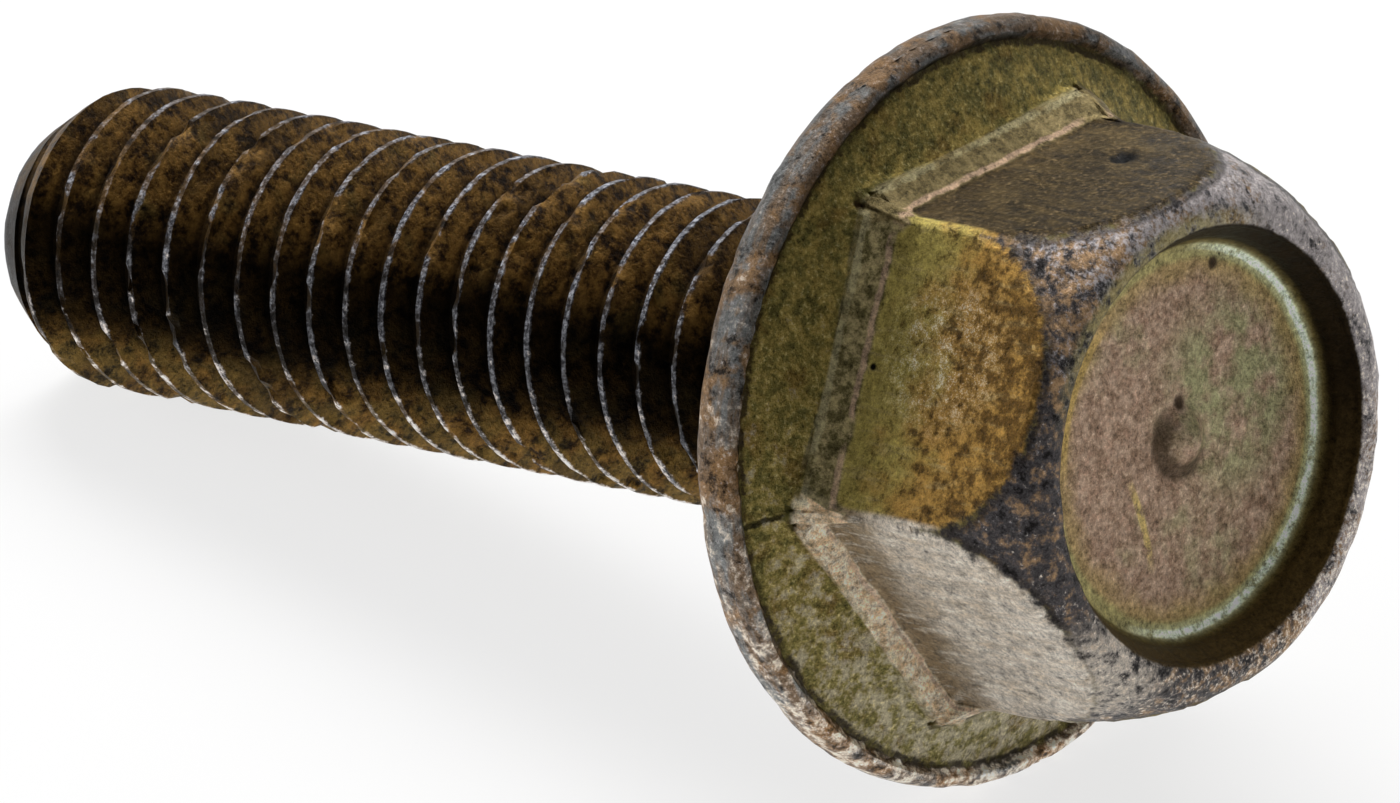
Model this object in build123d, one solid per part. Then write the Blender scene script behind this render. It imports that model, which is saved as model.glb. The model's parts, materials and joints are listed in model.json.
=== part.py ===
"""Flange bolt M8 x 1.25 x 30, one forged and thread-rolled steel piece, lying on a floor at z = 0."""

import os
from math import asin, atan2, cos, degrees, hypot, pi, radians, sin, tan

from build123d import *

os.makedirs("parts", exist_ok=True)

# All sizes are in mm. The bolt is built with its axis along Z: the bearing face is at z = 0,
# the head is above it and the thread is below. It is laid down at the end.

# thread
pitch = 1.25
crest_radius = 3.93  # M8 over the crests, as rolled
tip_crest_radius = 3.90  # the crests are worn a little lower towards the end
groove_depth = 0.69
crest_land = 0.18  # flat left on each crest
groove_slope = 30.0  # degrees, half of the 60 degree thread angle
overcut = 0.08  # how far the groove cutter stands out of the crests
bolt_length = 30.0
neck_length = 2.5  # plain neck under the head
tip_radius = 2.75  # end face inside the end chamfer
tip_chamfer = 1.8  # length of the end chamfer
underside_crest = -27.92  # height of the crest that touches the floor
neck_fillet = 0.4

# flange
flange_radius = 9.65
rim_lower_round = 0.75
rim_side_top = 1.02  # height where the rim's side turns over
rim_bead_height = 1.52
rim_bead_width = 0.42
crease_radius = 9.05
crease_height = 1.27
foot_apothem = 7.12  # half the distance across the foot of the hexagon
foot_height = 2.17  # flange top at the middle of a foot

# head
across_flats = 12.95
head_height = 8.72
corner_round = 0.35
dome_centre_radius = 5.75  # inner edge of the domed shoulder
dome_start_height = 4.1
hex_turn = -1.3  # degrees that the lower flat is turned from facing straight down
ledge_heights = (3.0, 2.85, 2.9, 3.0, 3.0, 2.5)  # inner edges of the six foot ledges
ledge_length = 7.55
rib_width = 0.3
rib_reach = 8.12
rib_foot_height = 1.98
rib_top_height = 3.35

# recess in the top of the head
mouth_radius = 5.4
lip_round = 0.22
wall_foot_radius = 5.12
recess_depth = 1.06
floor_fillet = 0.5
pip_radius = 0.8
pip_height = 0.28

apothem = across_flats / 2
corner_radius = apothem / cos(pi / 6)


def spun(profile):
    """The solid of a closed profile in the XZ plane turned once about Z."""
    return revolve(profile, Axis.Z, 360)


# Shank and flange, as one turned shape with the rim's bead and the crease inside it.
rim_lower_centre = (flange_radius - rim_lower_round, rim_lower_round)
rim_lower_mid = (
    rim_lower_centre[0] + rim_lower_round * sin(pi / 4),
    rim_lower_centre[1] - rim_lower_round * cos(pi / 4),
)
bead_start = flange_radius - rim_bead_width
neck_mid = neck_fillet * (1 - sin(pi / 4))
turned = [
    Line((0, -bolt_length), (tip_radius, -bolt_length)),
    Line((tip_radius, -bolt_length), (tip_crest_radius, -bolt_length + tip_chamfer)),
    Line((tip_crest_radius, -bolt_length + tip_chamfer), (crest_radius, -neck_length)),
    Line((crest_radius, -neck_length), (crest_radius, -neck_fillet)),
    ThreePointArc(
        (crest_radius, -neck_fillet),
        (crest_radius + neck_mid, -neck_mid),
        (crest_radius + neck_fillet, 0),
    ),
    Line((crest_radius + neck_fillet, 0), (rim_lower_centre[0], 0)),
    ThreePointArc((rim_lower_centre[0], 0), rim_lower_mid, (flange_radius, rim_lower_round)),
    Line((flange_radius, rim_lower_round), (flange_radius, rim_side_top)),
    ThreePointArc(
        (flange_radius, rim_side_top),
        (flange_radius - 0.14, rim_side_top + 0.37),
        (bead_start, rim_bead_height),
    ),
    Line((bead_start, rim_bead_height), (crease_radius, crease_height)),
    Line((crease_radius, crease_height), (foot_apothem, foot_height)),
    Line((foot_apothem, foot_height), (apothem - 1, foot_height + 0.1)),
    Line((apothem - 1, foot_height + 0.1), (0, foot_height + 0.1)),
    Line((0, foot_height + 0.1), (0, -bolt_length)),
]
body = spun(make_face(Plane.XZ * Wire(turned)))

# Hexagon of the head, with its upright edges rounded and a domed shoulder from the forging.
hexagon = extrude(Rot(0, 0, 30) * RegularPolygon(corner_radius, 6), head_height)
hexagon = fillet(hexagon.edges().filter_by(Axis.Z), corner_round)
dome_width = corner_radius - dome_centre_radius
dome = Wire(
    [
        Line((0, 0.5), (corner_radius, 0.5)),
        Line((corner_radius, 0.5), (corner_radius, dome_start_height)),
        EllipticalCenterArc(
            (dome_centre_radius, dome_start_height),
            dome_width,
            head_height - dome_start_height,
            start_angle=0,
            arc_size=90,
        ),
        Line((dome_centre_radius, head_height), (0, head_height)),
        Line((0, head_height), (0, 0.5)),
    ]
)
head = hexagon & spun(make_face(Plane.XZ * dome))
head = head & Pos(0, 0, head_height / 2 + 1.2) * Cylinder(corner_radius + 1, head_height)

# Foot of the hexagon: a sloping ledge along each flat and a small rib out from each corner.
for number, ledge_top in enumerate(ledge_heights):
    section = Plane.XZ * Polygon(
        (apothem - 1, 1.1),
        (foot_apothem, 1.1),
        (foot_apothem, foot_height + 0.02),
        (apothem - 0.05, ledge_top),
        (apothem - 1, ledge_top),
        align=None,
    )
    ledge = extrude(section, ledge_length / 2, both=True)
    head += Rot(0, 0, 60 * number) * ledge
    rib_section = Plane.XZ * Polygon(
        (corner_radius - 1, 1.1),
        (rib_reach, 1.1),
        (rib_reach, rib_foot_height),
        (corner_radius - 0.1, rib_top_height),
        (corner_radius - 1, rib_top_height),
        align=None,
    )
    rib = extrude(rib_section, rib_width / 2, both=True)
    head += Rot(0, 0, 60 * number + 30) * rib

# Round recess in the top with a small raised button in the middle.
floor_height = head_height - recess_depth
pip_ball = (pip_radius**2 + pip_height**2) / (2 * pip_height)
pip_half = asin(pip_radius / pip_ball)
recess = Wire(
    [
        Line((0, floor_height + pip_height), (0, head_height + 1)),
        Line((0, head_height + 1), (mouth_radius + lip_round, head_height + 1)),
        Line((mouth_radius + lip_round, head_height + 1), (mouth_radius + lip_round, head_height)),
        ThreePointArc(
            (mouth_radius + lip_round, head_height),
            (mouth_radius + lip_round * (1 - sin(pi / 4)), head_height - lip_round * (1 - cos(pi / 4))),
            (mouth_radius, head_height - lip_round),
        ),
        Line((mouth_radius, head_height - lip_round), (wall_foot_radius, floor_height + floor_fillet)),
        ThreePointArc(
            (wall_foot_radius, floor_height + floor_fillet),
            (
                wall_foot_radius - floor_fillet * (1 - cos(pi / 4)),
                floor_height + floor_fillet * (1 - sin(pi / 4)),
            ),
            (wall_foot_radius - floor_fillet, floor_height),
        ),
        Line((wall_foot_radius - floor_fillet, floor_height), (pip_radius, floor_height)),
        ThreePointArc(
            (pip_radius, floor_height),
            (pip_ball * sin(pip_half / 2), floor_height + pip_height - pip_ball * (1 - cos(pip_half / 2))),
            (0, floor_height + pip_height),
        ),
    ]
)
head -= spun(make_face(Plane.XZ * recess))

# Right-hand helical groove, cut two turns at a time, then one turn that rises out at the neck.
groove_mouth = pitch - crest_land
slope = tan(radians(groove_slope))
outer_half = groove_mouth / 2 + overcut * slope
root_half = groove_mouth / 2 - groove_depth * slope
step = 2 * pitch
groove_start = underside_crest + pitch / 2 - 2 * step
steps = int((-neck_length - groove_start) / step)


def groove_section(height):
    """Cutter section for the thread groove, standing at a height on the XZ plane."""
    return Plane.XZ * Polygon(
        (crest_radius + overcut, height - outer_half),
        (crest_radius + overcut, height + outer_half),
        (crest_radius - groove_depth, height + root_half),
        (crest_radius - groove_depth, height - root_half),
        align=None,
    )


body = Rot(0, 0, 37) * body  # keeps the seam of the turned faces off the groove's joints
for number in range(steps):
    foot = groove_start + number * step
    helix = Pos(0, 0, foot) * Helix(pitch, step, crest_radius)
    body -= sweep(groove_section(foot), path=helix, is_frenet=True)
run_out_foot = groove_start + steps * step
rise = degrees(atan2(groove_depth + overcut, pitch))
run_out = Pos(0, 0, run_out_foot) * Helix(pitch, pitch, crest_radius, cone_angle=rise)
body -= sweep(groove_section(run_out_foot), path=run_out, is_frenet=True)

bolt = body + Rot(0, 0, hex_turn) * head

# Lay it down on the flange's rim and the last full crest, head towards +X, floor at z = 0.
touch_crest = (tip_crest_radius, underside_crest - crest_land / 2)
reach = hypot(rim_lower_centre[0] - touch_crest[0], rim_lower_centre[1] - touch_crest[1])
lean = atan2(rim_lower_centre[0] - touch_crest[0], rim_lower_centre[1] - touch_crest[1])
tilt = degrees(lean + asin(rim_lower_round / reach))
bolt = Rot(0, 90 - tilt, 0) * bolt
box = bolt.bounding_box()
bolt = Pos(-(box.min.X + box.max.X) / 2, -(box.min.Y + box.max.Y) / 2, -box.min.Z) * bolt

bolt.label = "flange_bolt"
export_step(bolt, "parts/flange_bolt.step")
print("valid", body.is_valid, head.is_valid, bolt.is_valid, "groove ends", run_out_foot + pitch)
print("tilt", round(tilt, 3), "solids", len(bolt.solids()), "volume", round(bolt.volume, 1))
print("box", bolt.bounding_box(), "centre", bolt.center(CenterOf.MASS))
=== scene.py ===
"""Worn yellow-zinc flange bolt: looks for the one forged piece, and a small studio to see it in."""

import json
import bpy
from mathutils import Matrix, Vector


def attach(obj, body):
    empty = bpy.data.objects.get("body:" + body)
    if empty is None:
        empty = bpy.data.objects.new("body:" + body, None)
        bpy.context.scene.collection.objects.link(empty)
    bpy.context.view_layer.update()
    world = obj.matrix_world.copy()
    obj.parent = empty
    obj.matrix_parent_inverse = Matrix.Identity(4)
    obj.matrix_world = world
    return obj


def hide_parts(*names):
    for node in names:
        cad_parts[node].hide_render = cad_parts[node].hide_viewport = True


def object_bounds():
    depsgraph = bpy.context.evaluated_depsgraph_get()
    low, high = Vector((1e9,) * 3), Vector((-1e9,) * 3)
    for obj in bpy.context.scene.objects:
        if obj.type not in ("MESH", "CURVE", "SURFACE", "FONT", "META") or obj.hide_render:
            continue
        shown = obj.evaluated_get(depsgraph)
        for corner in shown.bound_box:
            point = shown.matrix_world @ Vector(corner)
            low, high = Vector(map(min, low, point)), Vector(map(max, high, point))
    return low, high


bl_info = {
    "name": "Worn Flange Bolt",
    "version": (1, 0, 0),
    "blender": (4, 5, 0),
    "location": "3D View > Sidebar > Flange Bolt",
    "description": "Gives a plain flange bolt its old zinc plating, worn edges and studio",
    "category": "Object",
}

from math import cos, radians, sin

import bmesh
import bpy
from mathutils import Matrix, Quaternion, Vector, noise

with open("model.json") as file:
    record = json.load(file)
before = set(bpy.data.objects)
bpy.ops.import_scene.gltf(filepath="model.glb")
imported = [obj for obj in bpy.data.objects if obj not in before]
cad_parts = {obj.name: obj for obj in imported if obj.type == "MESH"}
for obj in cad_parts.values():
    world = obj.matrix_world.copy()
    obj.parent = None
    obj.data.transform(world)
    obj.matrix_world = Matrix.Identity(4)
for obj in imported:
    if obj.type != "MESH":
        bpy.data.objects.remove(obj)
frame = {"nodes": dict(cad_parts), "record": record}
CAD_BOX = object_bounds()
BOLT = "flange_bolt"

# The bolt's own frame: origin in the middle of the bearing face, +Z out of the head, +X to the underside.
MOUNTS = {m["name"]: m for m in frame["record"]["mounts"]}
AXIS = -Vector(MOUNTS["bearing_face"]["axis"]).normalized()
ON_FACE = Vector(MOUNTS["bearing_face"]["pos_m"])
SHANK = Vector(MOUNTS["shank"]["pos_m"])
BEARING = SHANK + AXIS * (ON_FACE - SHANK).dot(AXIS)
SIDE = Vector((0, 1, 0))
UNDER = SIDE.cross(AXIS)
OWN = Matrix((UNDER, SIDE, AXIS)).transposed()
FLAT_TURN = -1.3  # degrees from straight down to the middle of the lowest flat
MM = 0.001
FINEST = 0.40  # longest edge left on the worn surface, mm
WORN_ANGLE = radians(22)
SHARP_ANGLE = radians(42)

# Marks on this bolt, in mm in its own frame.
TOP_PIT = (-6.43, 1.86, 5.34)  # small black pit in the top flat
PINHOLE = (-3.38, -5.52, 3.05)  # at the foot of the middle flat
FLAT_RUB = (-3.9, -5.2, 5.2)  # silver rub on the middle flat
# pale patch on the shoulder: partly rub, partly painted reflection of the floor
RUB_AND_REFLECTION_SPOT = (4.3, -4.4, 7.6)
OLIVE_SHOULDER = (-5.3, -1.6, 8.6)
GREEN_PATCH = (-0.6, 2.0, 7.7)  # on the recess floor
OLD_MARK = (-2.5, -3.5, 7.7)  # arc near the edge of the recess floor
BUTTON_DIRT = (-0.94, 0.17, 7.7)
FLOOR_SPECK = (-3.94, 2.0, 7.7)

# Studio, in metres.
FLOOR_SIDE = 1.6
CARD_SIDE = 0.23
CARD_GAP = 0.16  # from the origin to the black card
CARD_WAY = Vector((0.582, -0.649, 0.50)).normalized()  # towards the camera, a little higher
KEY_PLACE = (-0.25, 0.25, 0.45)
KEY_SIDE = 0.35
SIDE_PLACE = (-0.45, -0.25, 0.15)
SIDE_SIDE = 0.25
CAMERA_PLACE = (0.483622, -0.535151, 0.403025)
CAMERA_TURN = radians(42.0)  # from straight at the bolt's side round to its head
CAMERA_LIFT = radians(28.864)
CAMERA_ROLL = radians(-0.113)
LENS = 850.7  # mm, with a sensor 36 mm wide
WHITE = (1, 1, 1, 1)


class Wire:
    """A shader socket that can be used in ordinary arithmetic. Each sum adds its Math node."""

    def __init__(self, sheet, socket):
        self.sheet = sheet
        self.socket = socket

    def sum(self, operation, *values):
        return self.sheet.add("ShaderNodeMath", {"operation": operation}, *values)

    def __add__(self, other):
        return self.sum("ADD", self, other)

    def __radd__(self, other):
        return self.sum("ADD", other, self)

    def __sub__(self, other):
        return self.sum("SUBTRACT", self, other)

    def __rsub__(self, other):
        return self.sum("SUBTRACT", other, self)

    def __mul__(self, other):
        return self.sum("MULTIPLY", self, other)

    def __rmul__(self, other):
        return self.sum("MULTIPLY", other, self)

    def __truediv__(self, other):
        return self.sum("DIVIDE", self, other)

    def __rtruediv__(self, other):
        return self.sum("DIVIDE", other, self)

    def __pow__(self, other):
        return self.sum("POWER", self, other)

    def __abs__(self):
        return self.sum("ABSOLUTE", self)

    def __or__(self, other):
        return self.sum("MAXIMUM", self, other)


class Sheet:
    """The node tree of a material or a world, with a single way to add a node."""

    def __init__(self, owner):
        self.owner = owner
        owner.use_nodes = True
        self.tree = owner.node_tree
        self.tree.nodes.clear()

    def add(self, kind, settings=None, *values, out=0, **named):
        """Add a node: its settings first, then the values or links of its sockets.

        Gives the output named by out, or one for each name in a tuple.
        """
        node = self.tree.nodes.new(kind)
        for key, value in (settings or {}).items():
            setattr(node, key, value)
        for place, value in [*enumerate(values), *named.items()]:
            target = node.inputs[place.replace("_", " ") if isinstance(place, str) else place]
            if isinstance(value, Wire):
                self.tree.links.new(value.socket, target)
            elif value is not None:
                target.default_value = value
        if not node.outputs:
            return node
        if isinstance(out, tuple):
            return tuple(Wire(self, node.outputs[name]) for name in out)
        return Wire(self, node.outputs[out])

    def rise(self, value, low, high):
        """0 below low, 1 above high, smooth between them."""
        return self.add("ShaderNodeMapRange", {"interpolation_type": "SMOOTHSTEP"}, value, low, high)

    def band(self, value, middle, half):
        """1 at the middle, fading to 0 at half a width away."""
        return 1 - self.rise(abs(value - middle), half * 0.35, half)

    def blend(self, mask, first, second):
        """First colour where the mask is 0, second where it is 1."""
        settings = {"data_type": "RGBA", "blend_type": "MIX", "clamp_factor": True}
        ends = [end if isinstance(end, Wire) else (*end, 1) for end in (first, second)]
        not_colours = [None] * 5  # sockets 1 to 5 take numbers and vectors
        return self.add("ShaderNodeMix", settings, mask, *not_colours, *ends, out=2)

    def grain(self, where, scale, detail=3.0, rough=0.55, warp=0.0):
        """Fractal noise, mostly between 0.25 and 0.75."""
        return self.add(
            "ShaderNodeTexNoise",
            {"noise_dimensions": "3D"},
            Vector=where,
            Scale=scale,
            Detail=detail,
            Roughness=rough,
            Distortion=warp,
        )

    def near(self, where, point, radius):
        """1 at a point, fading to 0 at a radius from it."""
        gap = self.add("ShaderNodeVectorMath", {"operation": "DISTANCE"}, where, point, out=1)
        return 1 - self.rise(gap, radius * 0.4, radius)

    def shade(self, colour, amount):
        """A colour made darker or lighter."""
        return self.add("ShaderNodeVectorMath", {"operation": "SCALE"}, colour, Scale=amount)

    def place(self, x, y, z):
        """One vector from three numbers."""
        return self.add("ShaderNodeCombineXYZ", None, x, y, z)


class BoltFinish(bpy.types.PropertyGroup):
    """Colours of the old plating."""

    olive: bpy.props.FloatVectorProperty(
        name="Olive",
        description="Plating where it has gone green",
        size=3,
        subtype="COLOR",
        default=(0.13, 0.115, 0.035),
    )
    gold: bpy.props.FloatVectorProperty(
        name="Gold",
        description="Plating where it is still yellow",
        size=3,
        subtype="COLOR",
        default=(0.25, 0.19, 0.055),
    )
    brown: bpy.props.FloatVectorProperty(
        name="Brown",
        description="Stain over the plating",
        size=3,
        subtype="COLOR",
        default=(0.075, 0.048, 0.02),
    )
    rose: bpy.props.FloatVectorProperty(
        name="Rose",
        description="Pinkish tint of the recess floor",
        size=3,
        subtype="COLOR",
        default=(0.38, 0.275, 0.2),
    )
    bloom: bpy.props.FloatVectorProperty(
        name="Bloom",
        description="Grey-blue zinc bloom",
        size=3,
        subtype="COLOR",
        default=(0.23, 0.235, 0.23),
    )
    soot: bpy.props.FloatVectorProperty(
        name="Soot",
        description="Black dirt in the hollows",
        size=3,
        subtype="COLOR",
        default=(0.012, 0.010, 0.009),
    )
    # also paints the reflected floor light on the lowest flat and the shoulder
    pale: bpy.props.FloatVectorProperty(
        name="Pale rub",
        description="Whitish streaks on the flats",
        size=3,
        subtype="COLOR",
        default=(0.72, 0.64, 0.54),
    )


class BoltStudio(bpy.types.PropertyGroup):
    """Lamps and floor."""

    key: bpy.props.FloatProperty(
        name="Key lamp",
        description="Large soft lamp above and behind",
        default=3.4,
        unit="POWER",
    )
    side: bpy.props.FloatProperty(
        name="Side lamp",
        description="Soft lamp on the thread's side",
        default=0.7,
        unit="POWER",
    )
    fill: bpy.props.FloatProperty(
        name="Fill",
        description="Strength of the even light from all round",
        default=0.45,
        min=0,
    )
    floor: bpy.props.FloatVectorProperty(
        name="Floor",
        description="Colour of the floor",
        size=3,
        subtype="COLOR",
        default=(0.9, 0.9, 0.9),
    )


def zinc_finish(look):
    """Old yellow zinc over steel, in the bolt's own frame and in millimetres."""
    s = Sheet(bpy.data.materials.new("worn_yellow_zinc"))
    held = s.add("ShaderNodeTexCoord", out=3)
    own = s.add(
        "ShaderNodeMapping",
        {"vector_type": "TEXTURE"},
        held,
        tuple(BEARING),
        tuple(OWN.to_euler()),
        (MM, MM, MM),
    )
    x, y, z = s.add("ShaderNodeSeparateXYZ", None, own, out=(0, 1, 2))
    r = (x * x + y * y) ** 0.5
    up = x * -1 / r  # 1 on the side away from the floor, -1 underneath
    side = y / r
    turn = s.add("ShaderNodeMath", {"operation": "ARCTAN2"}, y, x)

    # distance from the axis towards each of the six flats, and the largest of them
    reach = {}
    for number, name in enumerate(("under", "far_low", "far_up", "top", "middle", "low")):
        angle = radians(FLAT_TURN + 60 * number)
        reach[name] = x * cos(angle) + y * sin(angle)
    hexagon = abs(reach["under"]) | abs(reach["far_low"]) | abs(reach["far_up"])

    # noise at several sizes
    cloud = s.grain(own, 0.35, 4, 0.6)
    patch = s.grain(own, 0.9, 6, 0.62)
    mottle = s.grain(own, 2.6, 6, 0.7)
    fine = s.grain(own, 8.0, 5, 0.75)
    dust = s.grain(own, 22.0, 3, 0.7)
    streak = s.grain(s.place(x * 2.6, y * 2.6, z * 0.55), 1.6, 6, 0.7)
    tint = s.grain(own, 3.6, 4, 0.7, 0.8)
    round_streak = s.grain(s.place(turn * 3.0, r * 1.6, z * 1.6), 1.2, 6, 0.68)
    # brightness of the speckle, about 1 on the whole
    lively = 1 + (mottle - 0.5) * 2.1 + (fine - 0.5) * 2.6 + (dust - 0.5) * 1.6

    olive, gold, brown = tuple(look.olive), tuple(look.gold), tuple(look.brown)
    rose, bloom = tuple(look.rose), tuple(look.bloom)
    soot, pale = tuple(look.soot), tuple(look.pale)

    # plating that nothing else covers, such as the underside of the flange
    plating = s.blend(s.rise(patch, 0.40, 0.60), brown, olive)
    colour = s.shade(plating, lively)
    rough = 0.30 + 0.34 * mottle
    metal = 1.0 - 0.1 * patch

    # flange top: olive and gold, grey bloom towards the bottom, and painted light: the whole top is painted
    # lighter towards the underside
    flange = s.rise(z, 1.1, 1.2) * s.rise(hexagon, 7.08, 7.14)
    top_colour = s.blend(s.rise(mottle, 0.36, 0.62), olive, gold)
    top_colour = s.blend(s.rise(1 - patch, 0.52, 0.66) * 0.5, top_colour, (0.13, 0.07, 0.018))
    top_colour = s.blend(s.rise(mottle + up * -0.14 - side * 0.04, 0.54, 0.70) * 0.5, top_colour, bloom)
    top_colour = s.blend(s.rise(fine, 0.54, 0.72) * 0.6, top_colour, (0.42, 0.36, 0.18))
    top_colour = s.blend(s.rise(1 - fine, 0.56, 0.72) * 0.6, top_colour, (0.05, 0.04, 0.015))
    # painted light: brighter on the side towards the floor
    colour = s.blend(flange, colour, s.shade(top_colour, lively * (1.48 - 0.26 * up)))

    # rim: brown and grey with pale rubs, more of them low down, painted lighter towards the underside as
    # painted light, black crease inside it
    rim = s.rise(r + (mottle - 0.5) * 0.3, 9.02, 9.14)
    rim_colour = s.blend(s.rise(round_streak, 0.42, 0.60), (0.22, 0.15, 0.095), bloom)
    rim_colour = s.blend(s.rise(patch, 0.48, 0.60) * 0.8, rim_colour, (0.33, 0.185, 0.075))
    rub = s.rise(mottle + up * -0.09, 0.52, 0.66)
    rim_colour = s.blend(rub * 0.8, rim_colour, pale)
    rim_colour = s.blend(s.rise(fine, 0.56, 0.68) * 0.7, rim_colour, (0.42, 0.40, 0.40))
    rim_colour = s.blend(s.rise(1 - mottle, 0.53, 0.66) * 0.85, rim_colour, soot)
    # painted light: the rim is brighter on the side towards the floor
    colour = s.blend(rim, colour, s.shade(rim_colour, lively * (1.0 - 0.52 * up)))
    crease = s.band(r + (mottle - 0.5) * 0.5 + (patch - 0.5) * 0.3, 9.03, 0.15) * s.rise(z, 1.0, 1.1)
    colour = s.blend(crease * s.rise(mottle, 0.30, 0.56) * 0.9, colour, (0.022, 0.014, 0.008))

    # flats, with painted shade on the top flat and painted floor reflection on the lowest
    head = s.rise(z, 1.9, 2.1) * (1 - s.rise(hexagon, 7.10, 7.16))
    flats = head * s.band(hexagon, 6.475, 0.16) * s.rise(z, 2.3, 2.5)
    is_top = s.rise(reach["top"], 6.2, 6.35)
    is_middle = s.rise(reach["middle"], 6.2, 6.35)
    is_low = s.rise(reach["low"], 6.2, 6.35)
    flat_colour = s.blend(s.rise(streak, 0.4, 0.62), brown, gold)
    # the top flat is painted near black: partly its own dark tone, partly painted shade
    top_flat_with_shade = s.blend(s.rise(streak, 0.36, 0.66), (0.014, 0.009, 0.003), (0.052, 0.034, 0.011))
    top_flat_with_shade = s.blend(s.rise(fine, 0.50, 0.66) * 0.6, top_flat_with_shade, (0.15, 0.105, 0.05))
    top_flat_with_shade = s.blend(s.rise(patch - z * 0.03, 0.36, 0.50) * 0.35, top_flat_with_shade, (0.13, 0.09, 0.035))
    flat_colour = s.blend(is_top, flat_colour, top_flat_with_shade)
    middle = s.blend(s.rise(z + (patch - 0.5) * 6, 3.6, 6.0), (0.38, 0.31, 0.09), (0.38, 0.225, 0.06))
    middle = s.blend(s.rise(streak, 0.50, 0.68) * 0.5, middle, (0.42, 0.34, 0.17))
    browned = s.rise(1 - mottle + (z - 5.0) * 0.05, 0.50, 0.66) * 0.75
    middle = s.blend(browned, middle, (0.10, 0.052, 0.015))
    rubbed = s.near(own, FLAT_RUB, 2.4) * s.rise(mottle * 0.5 + dust * 0.5, 0.52, 0.60)
    middle = s.blend(rubbed * 0.6, middle, (0.56, 0.56, 0.50))
    flat_colour = s.blend(is_middle, flat_colour, middle)
    # the lowest flat is painted pale to near white: partly whitish rubs, partly painted reflection of the
    # floor
    low = s.blend(s.rise(z + (patch - 0.5) * 2.4, 2.8, 4.6), (0.25, 0.175, 0.09), pale)
    low = s.blend(s.rise(streak, 0.46, 0.66) * 0.55, low, (0.50, 0.39, 0.26))
    low = s.blend(s.rise(1 - streak, 0.50, 0.68) * 0.5, low, (0.95, 0.90, 0.80))
    flat_colour = s.blend(is_low, flat_colour, low)
    colour = s.blend(flats, colour, s.shade(flat_colour, lively))

    # foot ledges, with a rubbed outer lip, a painted highlight along the inner ridge, and the lowest ledge
    # partly painted floor reflection
    ledge = head * s.rise(hexagon, 6.50, 6.56)
    on_top = s.rise(reach["top"], 6.45, 6.5)
    on_low = s.rise(reach["low"], 6.45, 6.5)
    ledge_colour = s.blend(s.rise(mottle, 0.40, 0.60), (0.13, 0.11, 0.045), (0.34, 0.28, 0.14))
    ledge_colour = s.blend(on_top * 0.8, ledge_colour, (0.19, 0.145, 0.065))
    # the lowest ledge is painted near white: partly rub, partly painted reflection of the floor
    low_ledge_rub_and_reflection = s.blend(s.rise(streak, 0.4, 0.6), (0.78, 0.56, 0.33), (1.0, 0.88, 0.68))
    ledge_colour = s.blend(on_low, ledge_colour, low_ledge_rub_and_reflection)
    lip = s.band(hexagon + (mottle - 0.5) * 0.25, 7.07, 0.10) * s.rise(patch, 0.40, 0.54)
    ledge_colour = s.blend(lip * 0.6, ledge_colour, (0.42, 0.38, 0.22))
    # painted highlight: a tan line along the inner ridge of each ledge
    corner = s.band(hexagon + (mottle - 0.5) * 0.15, 6.60, 0.07) * s.rise(patch, 0.36, 0.5)
    ledge_colour = s.blend(corner * 0.7, ledge_colour, (0.55, 0.38, 0.27))
    colour = s.blend(ledge, colour, s.shade(ledge_colour, lively))

    # rubbed shoulder of the head: blue-black with tan and pale speckle, the tan and grey shifted towards one
    # side as painted light, and a pale patch low down that is partly rub and partly painted floor reflection
    inside_flats = 1 - s.rise(hexagon + (mottle - 0.5) * 0.5, 6.30, 6.44)
    shoulder = s.rise(z, 4.3, 5.6) * inside_flats * s.rise(r, 5.35, 5.5)
    # painted light: more tan and grey towards the +Y side and away from the floor
    painted_light_bias = up * 0.04 + side * 0.11 + 0.02
    worn = s.blend(s.rise(mottle + painted_light_bias, 0.40, 0.58), (0.085, 0.078, 0.080), (0.34, 0.22, 0.12))
    worn = s.blend(s.rise(patch * 0.5 + fine * 0.5 + painted_light_bias, 0.49, 0.60) * 0.8, worn, (0.36, 0.35, 0.37))
    worn = s.blend(s.rise(fine + up * -0.06 + side * 0.04, 0.56, 0.68) * 0.75, worn, pale)
    worn = s.blend(s.rise(1 - mottle, 0.54, 0.66) * 0.8, worn, soot)
    burnt = s.band(hexagon + (mottle - 0.5) * 0.3, 6.34, 0.16) * s.rise(patch, 0.38, 0.54)
    worn = s.blend(burnt * 0.75, worn, (0.03, 0.024, 0.02))
    # pale patch above the lowest flat: partly rub, partly painted floor reflection
    pale_rub_and_reflection = s.near(own, RUB_AND_REFLECTION_SPOT, 2.6) * s.rise(mottle, 0.36, 0.54)
    worn = s.blend(pale_rub_and_reflection * 0.75, worn, pale)
    near_mouth = (1 - s.rise(r + (mottle - 0.5) * 0.7, 5.75, 6.05)) * s.near(own, OLIVE_SHOULDER, 5.2)
    worn = s.blend(near_mouth * s.rise(mottle, 0.34, 0.5) * 0.85, worn, (0.27, 0.23, 0.10))
    colour = s.blend(shoulder, colour, s.shade(worn, lively))

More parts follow.
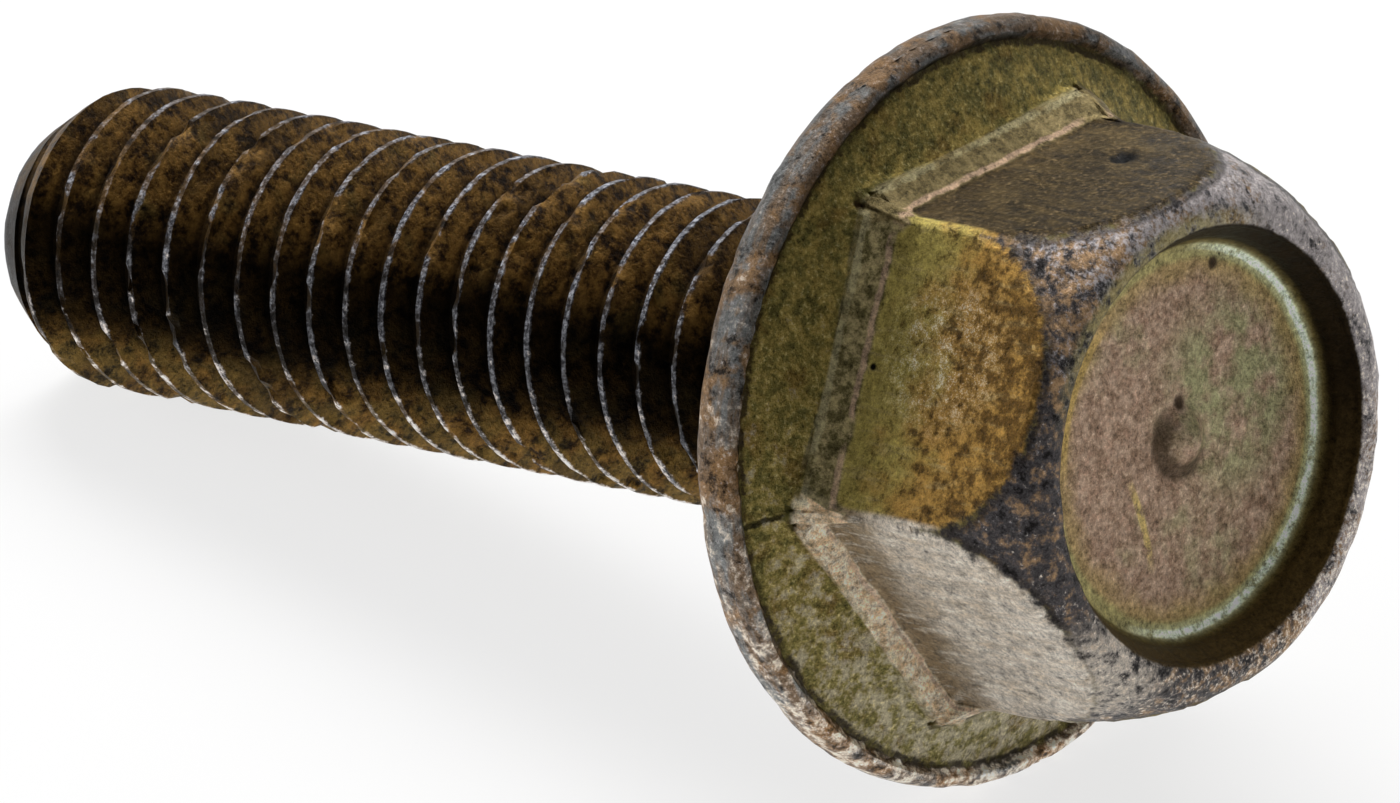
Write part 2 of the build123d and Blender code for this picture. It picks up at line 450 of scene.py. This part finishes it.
    # recess: rose floor, green patches, a gold band, a painted highlight on the lit side of the fillet, and
    # dark sides that are painted shade
    recess = s.rise(z, 7.2, 7.35) * (1 - s.rise(r + (mottle - 0.5) * 0.12, 5.46, 5.54))
    floor_colour = s.blend(s.rise(mottle, 0.36, 0.62), (0.31, 0.20, 0.13), rose)
    floor_colour = s.blend(s.rise(fine, 0.56, 0.70) * 0.5, floor_colour, (0.52, 0.44, 0.34))
    green_patch = s.near(own, GREEN_PATCH, 3.4) | s.rise(cloud, 0.52, 0.64) * 0.6
    floor_colour = s.blend(s.rise(tint, 0.50, 0.62) * 0.45, floor_colour, (0.37, 0.225, 0.155))
    floor_colour = s.blend(green_patch * s.rise(patch, 0.36, 0.60) * 0.65, floor_colour, (0.25, 0.29, 0.13))
    floor_colour = s.blend(s.rise(r + (patch - 0.5) * 1.2, 3.7, 4.5) * 0.75, floor_colour, (0.36, 0.26, 0.10))
    floor_colour = s.blend(s.rise(r + (mottle - 0.5) * 0.3, 4.40, 4.62), floor_colour, (0.34, 0.30, 0.13))
    # painted highlight: a pale line and a soft band on the side of the fillet that faces the light
    lit = s.rise(side + x / r * 0.5, -0.35, 0.35)
    floor_colour = s.blend(s.rise(r + (mottle - 0.5) * 0.2, 4.86, 4.96), floor_colour, (0.13, 0.10, 0.035))
    highlight_line = s.band(r + (patch - 0.5) * 0.2, 4.80, 0.13) * lit * s.rise(mottle, 0.34, 0.5)
    highlight_glow = s.band(r + (patch - 0.5) * 0.2, 4.76, 0.26) * lit
    floor_colour = s.blend(highlight_glow * 0.55, floor_colour, (0.55, 0.58, 0.36))
    floor_colour = s.blend(highlight_line * 0.9, floor_colour, (0.78, 0.88, 0.74))
    # painted shade: the sides of the recess are painted nearly black, a little lighter towards the underside
    shaded_recess_side = s.blend(s.rise(x, 0.0, 4.0), (0.016, 0.010, 0.004), (0.075, 0.048, 0.016))
    floor_colour = s.blend(s.rise(r + (mottle - 0.5) * 0.1, 4.98, 5.10), floor_colour, shaded_recess_side)
    scratch_line = y + 1.70 + 0.06 * (2.6 - x) * (2.6 - x)
    scratch = s.band(scratch_line, 0.0, 0.16) * s.band(x, 1.5, 1.5) * s.rise(mottle, 0.38, 0.5)
    floor_colour = s.blend(scratch * 0.8, floor_colour, (0.50, 0.38, 0.13))
    old_mark = s.band(r, 4.28, 0.2) * s.near(own, OLD_MARK, 2.6)
    floor_colour = s.blend(old_mark * 0.8, floor_colour, (0.46, 0.32, 0.10))
    # a pit and a speck are dirt; the dark band round the button, heavier on one side, is painted shade
    dirt_and_shade = (
        s.near(own, BUTTON_DIRT, 0.30)
        | s.near(own, FLOOR_SPECK, 0.24)
        | s.band(r, 0.80, 0.34) * s.rise(mottle - side * 0.25 + x / r * 0.2, 0.30, 0.62) * 0.8
    )
    floor_colour = s.blend(dirt_and_shade, floor_colour, (0.05, 0.032, 0.018))
    colour = s.blend(recess, colour, s.shade(floor_colour, lively * 1.22))

    # thread: brown grooves, black in their roots, rubbed crests, a painted dark reflection in a band along
    # one side, grooves painted lighter towards the underside, and crests pale low down, partly rubs and
    # partly painted floor reflection
    shank = (1 - s.rise(r, 4.0, 4.2)) * (1 - s.rise(z, -0.1, 0.0))
    groove = s.blend(s.rise(mottle, 0.36, 0.60), (0.085, 0.042, 0.012), (0.31, 0.17, 0.043))
    groove = s.blend(s.rise(patch + up * -0.10, 0.46, 0.62) * 0.5, groove, (0.20, 0.15, 0.045))
    groove = s.blend(s.rise(1 - mottle, 0.52, 0.66) * 0.7, groove, soot)
    groove = s.blend(s.rise(1 - cloud, 0.50, 0.62) * 0.5, groove, (0.04, 0.024, 0.01))
    groove = s.blend((1 - s.rise(r, 3.26, 3.44)) * 0.6, groove, soot)
    # painted dark reflection: a band along one side of the thread is painted near black
    painted_dark_reflection = s.near(s.place(up, side, 0.0), (0.16, -0.99, 0.0), 0.66)
    # painted light: grooves are also painted lighter towards the floor
    groove = s.shade(groove, lively * (1 - 0.88 * painted_dark_reflection) * (0.72 - 0.22 * up))
    crest_colour = s.blend(s.rise(fine, 0.40, 0.62), (0.03, 0.03, 0.038), (0.26, 0.265, 0.29))
    # crests go pale more on the underside: partly rubs, partly painted floor reflection
    crest_colour = s.blend(s.rise(mottle + up * -0.16, 0.54, 0.66), crest_colour, (0.86, 0.78, 0.72))
    crest_colour = s.shade(crest_colour, 1 - 0.3 * painted_dark_reflection)
    crest = s.rise(r + (mottle - 0.5) * 0.24, 3.85, 3.90) * (1 - s.rise(z, -3.6, -3.2))
    colour = s.blend(shank, colour, s.blend(crest, groove, s.shade(crest_colour, lively)))

    # end of the thread
    end = 1 - s.rise(z, -29.95, -29.8)
    colour = s.blend(end, colour, s.shade((0.06, 0.06, 0.065), lively))

    # single marks: a black pit on the top flat, a pinhole, a seam on the flange
    pits = s.near(own, TOP_PIT, 0.52) | s.near(own, PINHOLE, 0.14)
    seam = s.band(x + (mottle - 0.5) * 0.3, -0.22, 0.12) * s.band(y, -8.5, 0.9) * flange
    colour = s.blend(pits | seam * 0.85, colour, (0.001, 0.001, 0.001))

    # whitish rubs, and the painted floor reflection on the lowest flat, its ledge and the shoulder, are
    # duller than the metal round them
    pale_metal = (flats | ledge) * is_low | pale_rub_and_reflection * shoulder
    metal = metal - 0.55 * pale_metal
    bump = mottle * 0.055 + fine * 0.045 + dust * 0.014
    shader = s.add(
        "ShaderNodeBsdfPrincipled",
        None,
        Base_Color=colour,
        Metallic=metal,
        Roughness=rough,
        Normal=s.add("ShaderNodeBump", None, Strength=1.0, Distance=MM, Height=bump),
    )
    s.add("ShaderNodeOutputMaterial", None, shader)
    return s.owner


def own_place(point):
    """A point in metres, given in the bolt's own frame in millimetres."""
    way = (point - BEARING) / MM
    return way.dot(UNDER), way.dot(SIDE), way.dot(AXIS)


def step(value, low, high):
    """0 below low, 1 above high, smooth between them."""
    part = min(max((value - low) / (high - low), 0.0), 1.0)
    return part * part * (3 - 2 * part)


def lump(place, size, seed):
    """Smooth noise from -1 to 1 with features of a given size in millimetres."""
    return noise.noise(Vector(place) / size + Vector((seed, 2 * seed, 3 * seed)))


def hex_reach(x, y):
    """How far a place is from the axis, measured square to the flat it is nearest to."""
    return max(
        abs(x * cos(radians(FLAT_TURN + 60 * n)) + y * sin(radians(FLAT_TURN + 60 * n))) for n in range(3)
    )


def gap_to(place, point):
    """Distance between two places."""
    return (Vector(place) - Vector(point)).length


def wear_at(place):
    """How far the surface has moved out (+) or in (-), in millimetres, by wear, dents and rolling."""
    x, y, z = place
    r = (x * x + y * y) ** 0.5
    reach = hex_reach(x, y)
    move = 0.0
    # thread: nicked and rubbed crests, slightly uneven grooves
    if z < -0.3 and r < 4.3:
        crest = step(r, 3.55, 3.88)
        nick = step(lump(place, 0.55, 1.0) + 0.4 * lump(place, 1.8, 2.0), 0.28, 0.62)
        move -= crest * (0.16 * nick + 0.035 * (1 + lump(place, 0.9, 3.0)))
        move += (1 - crest) * 0.03 * lump(place, 0.6, 4.0)
        return move
    # rim: dents
    rim = step(r, 8.95, 9.2)
    if rim > 0:
        dent = step(lump(place, 1.3, 5.0), 0.15, 0.6)
        move -= rim * (0.07 * dent + 0.03 * (1 + lump(place, 0.5, 6.0)))
    # flange top, and the crease inside its rim
    if z > 0.9 and reach > 7.05:
        move += (1 - rim) * (0.03 * lump(place, 1.1, 7.0) + 0.018 * lump(place, 0.4, 8.0))
        groove = 1 - step(abs(r - 9.04 - 0.05 * lump(place, 1.6, 9.0)), 0.03, 0.16)
        move -= groove * (0.10 + 0.05 * lump(place, 0.9, 10.0))
    # foot ledges
    if reach > 6.5 and 1.9 < z < 3.8 and r < 8.9:
        move += 0.045 * lump(place, 1.2, 11.0) + 0.03 * lump(place, 0.45, 12.0)
    # flats, shoulder and recess floor
    flat = step(z, 2.2, 2.6) * step(reach, 6.3, 6.45) * (1 - step(reach, 6.5, 6.6))
    move += flat * (0.022 * lump(place, 1.4, 13.0) + 0.012 * lump((x, y, z * 0.4), 0.45, 14.0))
    shoulder = step(z, 4.5, 5.4) * (1 - step(reach, 6.38, 6.46)) * step(r, 5.3, 5.6)
    move += shoulder * (0.05 * lump(place, 1.1, 15.0) + 0.04 * lump(place, 0.42, 16.0))
    recess = (1 - step(r, 5.1, 5.3)) * step(z, 7.0, 7.3)
    move += recess * (0.018 * lump(place, 1.5, 17.0) + 0.008 * lump(place, 0.4, 18.0))
    move -= 0.22 * (1 - step(gap_to(place, TOP_PIT), 0.10, 0.34))
    # button in the recess, with a hollow round it
    if z > 7.2 and r < 1.4:
        move += 0.16 * (1 - step(r, 0.15, 0.72)) - 0.07 * (1 - step(abs(r - 0.95), 0.05, 0.3))
    return move


def is_worn_edge(edge):
    """True on sharp edges of the head and the flange, which are rubbed round. The thread keeps its own."""
    x, y, z = own_place((edge.verts[0].co + edge.verts[1].co) / 2)
    return z > 0.6 and edge.calc_face_angle(0) > WORN_ANGLE


class MESH_OT_bolt_skin(bpy.types.Operator):
    """Model the worn surface of the bolt over its plain solid"""

    bl_idname = "mesh.bolt_skin"
    bl_label = "Worn surface"

    def execute(self, context):
        skin = bmesh.new()
        skin.from_mesh(frame["nodes"][BOLT].data)
        bmesh.ops.remove_doubles(skin, verts=skin.verts, dist=0.001 * MM)
        bmesh.ops.dissolve_degenerate(skin, edges=skin.edges, dist=0.001 * MM)
        bmesh.ops.triangulate(skin, faces=skin.faces)
        for longest in (3.2, 1.6, 0.9, 0.62, FINEST):
            long_edges = [e for e in skin.edges if e.calc_length() > longest * MM]
            bmesh.ops.subdivide_edges(skin, edges=long_edges, cuts=1)
            bmesh.ops.triangulate(skin, faces=[f for f in skin.faces if len(f.verts) > 3])
        worn = {v for e in skin.edges if is_worn_edge(e) for v in e.verts}
        for _ in range(3):
            bmesh.ops.smooth_vert(
                skin, verts=list(worn), factor=0.5, use_axis_x=True, use_axis_y=True, use_axis_z=True
            )
        skin.normal_update()
        for vert in skin.verts:
            vert.co += vert.normal * wear_at(own_place(vert.co)) * MM
        skin.normal_update()
        for face in skin.faces:
            face.smooth = True
        for edge in skin.edges:
            edge.smooth = edge.calc_face_angle(0) < SHARP_ANGLE
        mesh = bpy.data.meshes.new("worn_bolt")
        skin.to_mesh(mesh)
        skin.free()
        made = bpy.data.objects.new("worn_bolt", mesh)
        context.scene.collection.objects.link(made)
        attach(made, "root")
        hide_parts(BOLT)
        return {"FINISHED"}


class OBJECT_OT_bolt_finish(bpy.types.Operator):
    """Give the bolt its old zinc plating"""

    bl_idname = "object.bolt_finish"
    bl_label = "Zinc finish"

    def execute(self, context):
        bolt = bpy.data.objects["worn_bolt"]
        finish = zinc_finish(context.scene.bolt_finish)
        bolt.data.materials.clear()
        bolt.data.materials.append(finish)
        return {"FINISHED"}


def lamp(name, place, aim, size, power):
    """A square soft lamp that looks from one place to another."""
    data = bpy.data.lights.new(name, "AREA")
    data.shape = "SQUARE"
    data.size = size
    data.energy = power
    made = bpy.data.objects.new(name, data)
    made.location = place
    made.rotation_euler = (Vector(aim) - Vector(place)).to_track_quat("-Z", "Y").to_euler()
    bpy.context.scene.collection.objects.link(made)
    return made


def sheet_of(name, across, material):
    """A flat square sheet on the floor plane."""
    shape = bmesh.new()
    bmesh.ops.create_grid(shape, x_segments=1, y_segments=1, size=across / 2)
    mesh = bpy.data.meshes.new(name)
    shape.to_mesh(mesh)
    shape.free()
    mesh.materials.append(material)
    made = bpy.data.objects.new(name, mesh)
    bpy.context.scene.collection.objects.link(made)
    return made


def floor_finish(colour):
    """Pale floor, nearly white to the camera and in reflections, which still keeps the shadow."""
    s = Sheet(bpy.data.materials.new("studio_floor"))
    seen, reflected = s.add("ShaderNodeLightPath", out=("Is Camera Ray", "Is Glossy Ray"))
    matt = s.add("ShaderNodeBsdfDiffuse", None, (*colour, 1))
    white = s.add("ShaderNodeEmission", None, WHITE, 1.0)
    mixed = s.add("ShaderNodeMixShader", None, (seen | reflected) * 0.75, matt, white)
    s.add("ShaderNodeOutputMaterial", None, mixed)
    return s.owner


def card_finish():
    """Matt black card."""
    s = Sheet(bpy.data.materials.new("black_card"))
    s.add("ShaderNodeOutputMaterial", None, s.add("ShaderNodeBsdfDiffuse", None, (0.004, 0.004, 0.004, 1)))
    return s.owner


def studio_world(strength):
    """Even light from all round, and plain white where the camera looks past the floor."""
    s = Sheet(bpy.data.worlds.new("studio"))
    seen, through = s.add("ShaderNodeLightPath", out=("Is Camera Ray", "Is Transmission Ray"))
    even = s.add("ShaderNodeBackground", None, WHITE, strength)
    white = s.add("ShaderNodeBackground", None, WHITE, 1.0)
    mixed = s.add("ShaderNodeMixShader", None, seen | through, even, white)
    s.add("ShaderNodeOutputWorld", None, mixed)
    return s.owner


def studio_camera():
    """Long lens above the bolt and on its head's side, almost level from side to side."""
    eye = bpy.data.cameras.new("camera")
    eye.lens = LENS
    eye.sensor_width = 36
    eye.clip_start = 0.05
    eye.clip_end = 20
    camera = bpy.data.objects.new("camera", eye)
    bpy.context.scene.collection.objects.link(camera)
    flat_part = cos(CAMERA_LIFT)
    back = Vector((sin(CAMERA_TURN) * flat_part, -cos(CAMERA_TURN) * flat_part, sin(CAMERA_LIFT)))
    camera.location = CAMERA_PLACE
    camera.rotation_mode = "QUATERNION"
    camera.rotation_quaternion = (-back).to_track_quat("-Z", "Y") @ Quaternion((0, 0, 1), CAMERA_ROLL)
    return camera


class SCENE_OT_bolt_studio(bpy.types.Operator):
    """Put a pale floor, soft lamps and the camera round the bolt"""

    bl_idname = "scene.bolt_studio"
    bl_label = "Studio"

    def execute(self, context):
        studio = context.scene.bolt_studio
        sheet_of("floor", FLOOR_SIDE, floor_finish(tuple(studio.floor)))

        # darkens what the steel reflects on the camera's side
        card = sheet_of("camera_card", CARD_SIDE, card_finish())
        turned = CARD_WAY.to_track_quat("Z", "Y").to_matrix().to_4x4()
        card.data.transform(Matrix.Translation(CARD_WAY * CARD_GAP) @ turned)
        card.visible_camera = False

        middle = (CAD_BOX[0] + CAD_BOX[1]) / 2
        lamp("key_lamp", KEY_PLACE, middle, KEY_SIDE, studio.key)
        lamp("side_lamp", SIDE_PLACE, middle, SIDE_SIDE, studio.side)
        context.scene.world = studio_world(studio.fill)
        context.scene.camera = studio_camera()
        context.scene.view_settings.view_transform = "Standard"
        return {"FINISHED"}


class VIEW3D_PT_bolt(bpy.types.Panel):
    """Sidebar panel with the colours, the studio's settings and the three steps"""

    bl_label = "Flange Bolt"
    bl_space_type = "VIEW_3D"
    bl_region_type = "UI"
    bl_category = "Flange Bolt"

    def draw(self, context):
        for group in (context.scene.bolt_finish, context.scene.bolt_studio):
            for name in group.bl_rna.properties.keys():
                if name not in ("rna_type", "name"):
                    self.layout.prop(group, name)
        self.layout.operator("mesh.bolt_skin")
        self.layout.operator("object.bolt_finish")
        self.layout.operator("scene.bolt_studio")


CLASSES = (
    BoltFinish,
    BoltStudio,
    MESH_OT_bolt_skin,
    OBJECT_OT_bolt_finish,
    SCENE_OT_bolt_studio,
    VIEW3D_PT_bolt,
)


def register():
    for item in CLASSES:
        bpy.utils.register_class(item)
    bpy.types.Scene.bolt_finish = bpy.props.PointerProperty(type=BoltFinish)
    bpy.types.Scene.bolt_studio = bpy.props.PointerProperty(type=BoltStudio)


def unregister():
    del bpy.types.Scene.bolt_studio
    del bpy.types.Scene.bolt_finish
    for item in reversed(CLASSES):
        bpy.utils.unregister_class(item)


def main():
    register()
    bpy.ops.mesh.bolt_skin()
    bpy.ops.object.bolt_finish()
    bpy.ops.scene.bolt_studio()


if __name__ == "__main__":
    main()
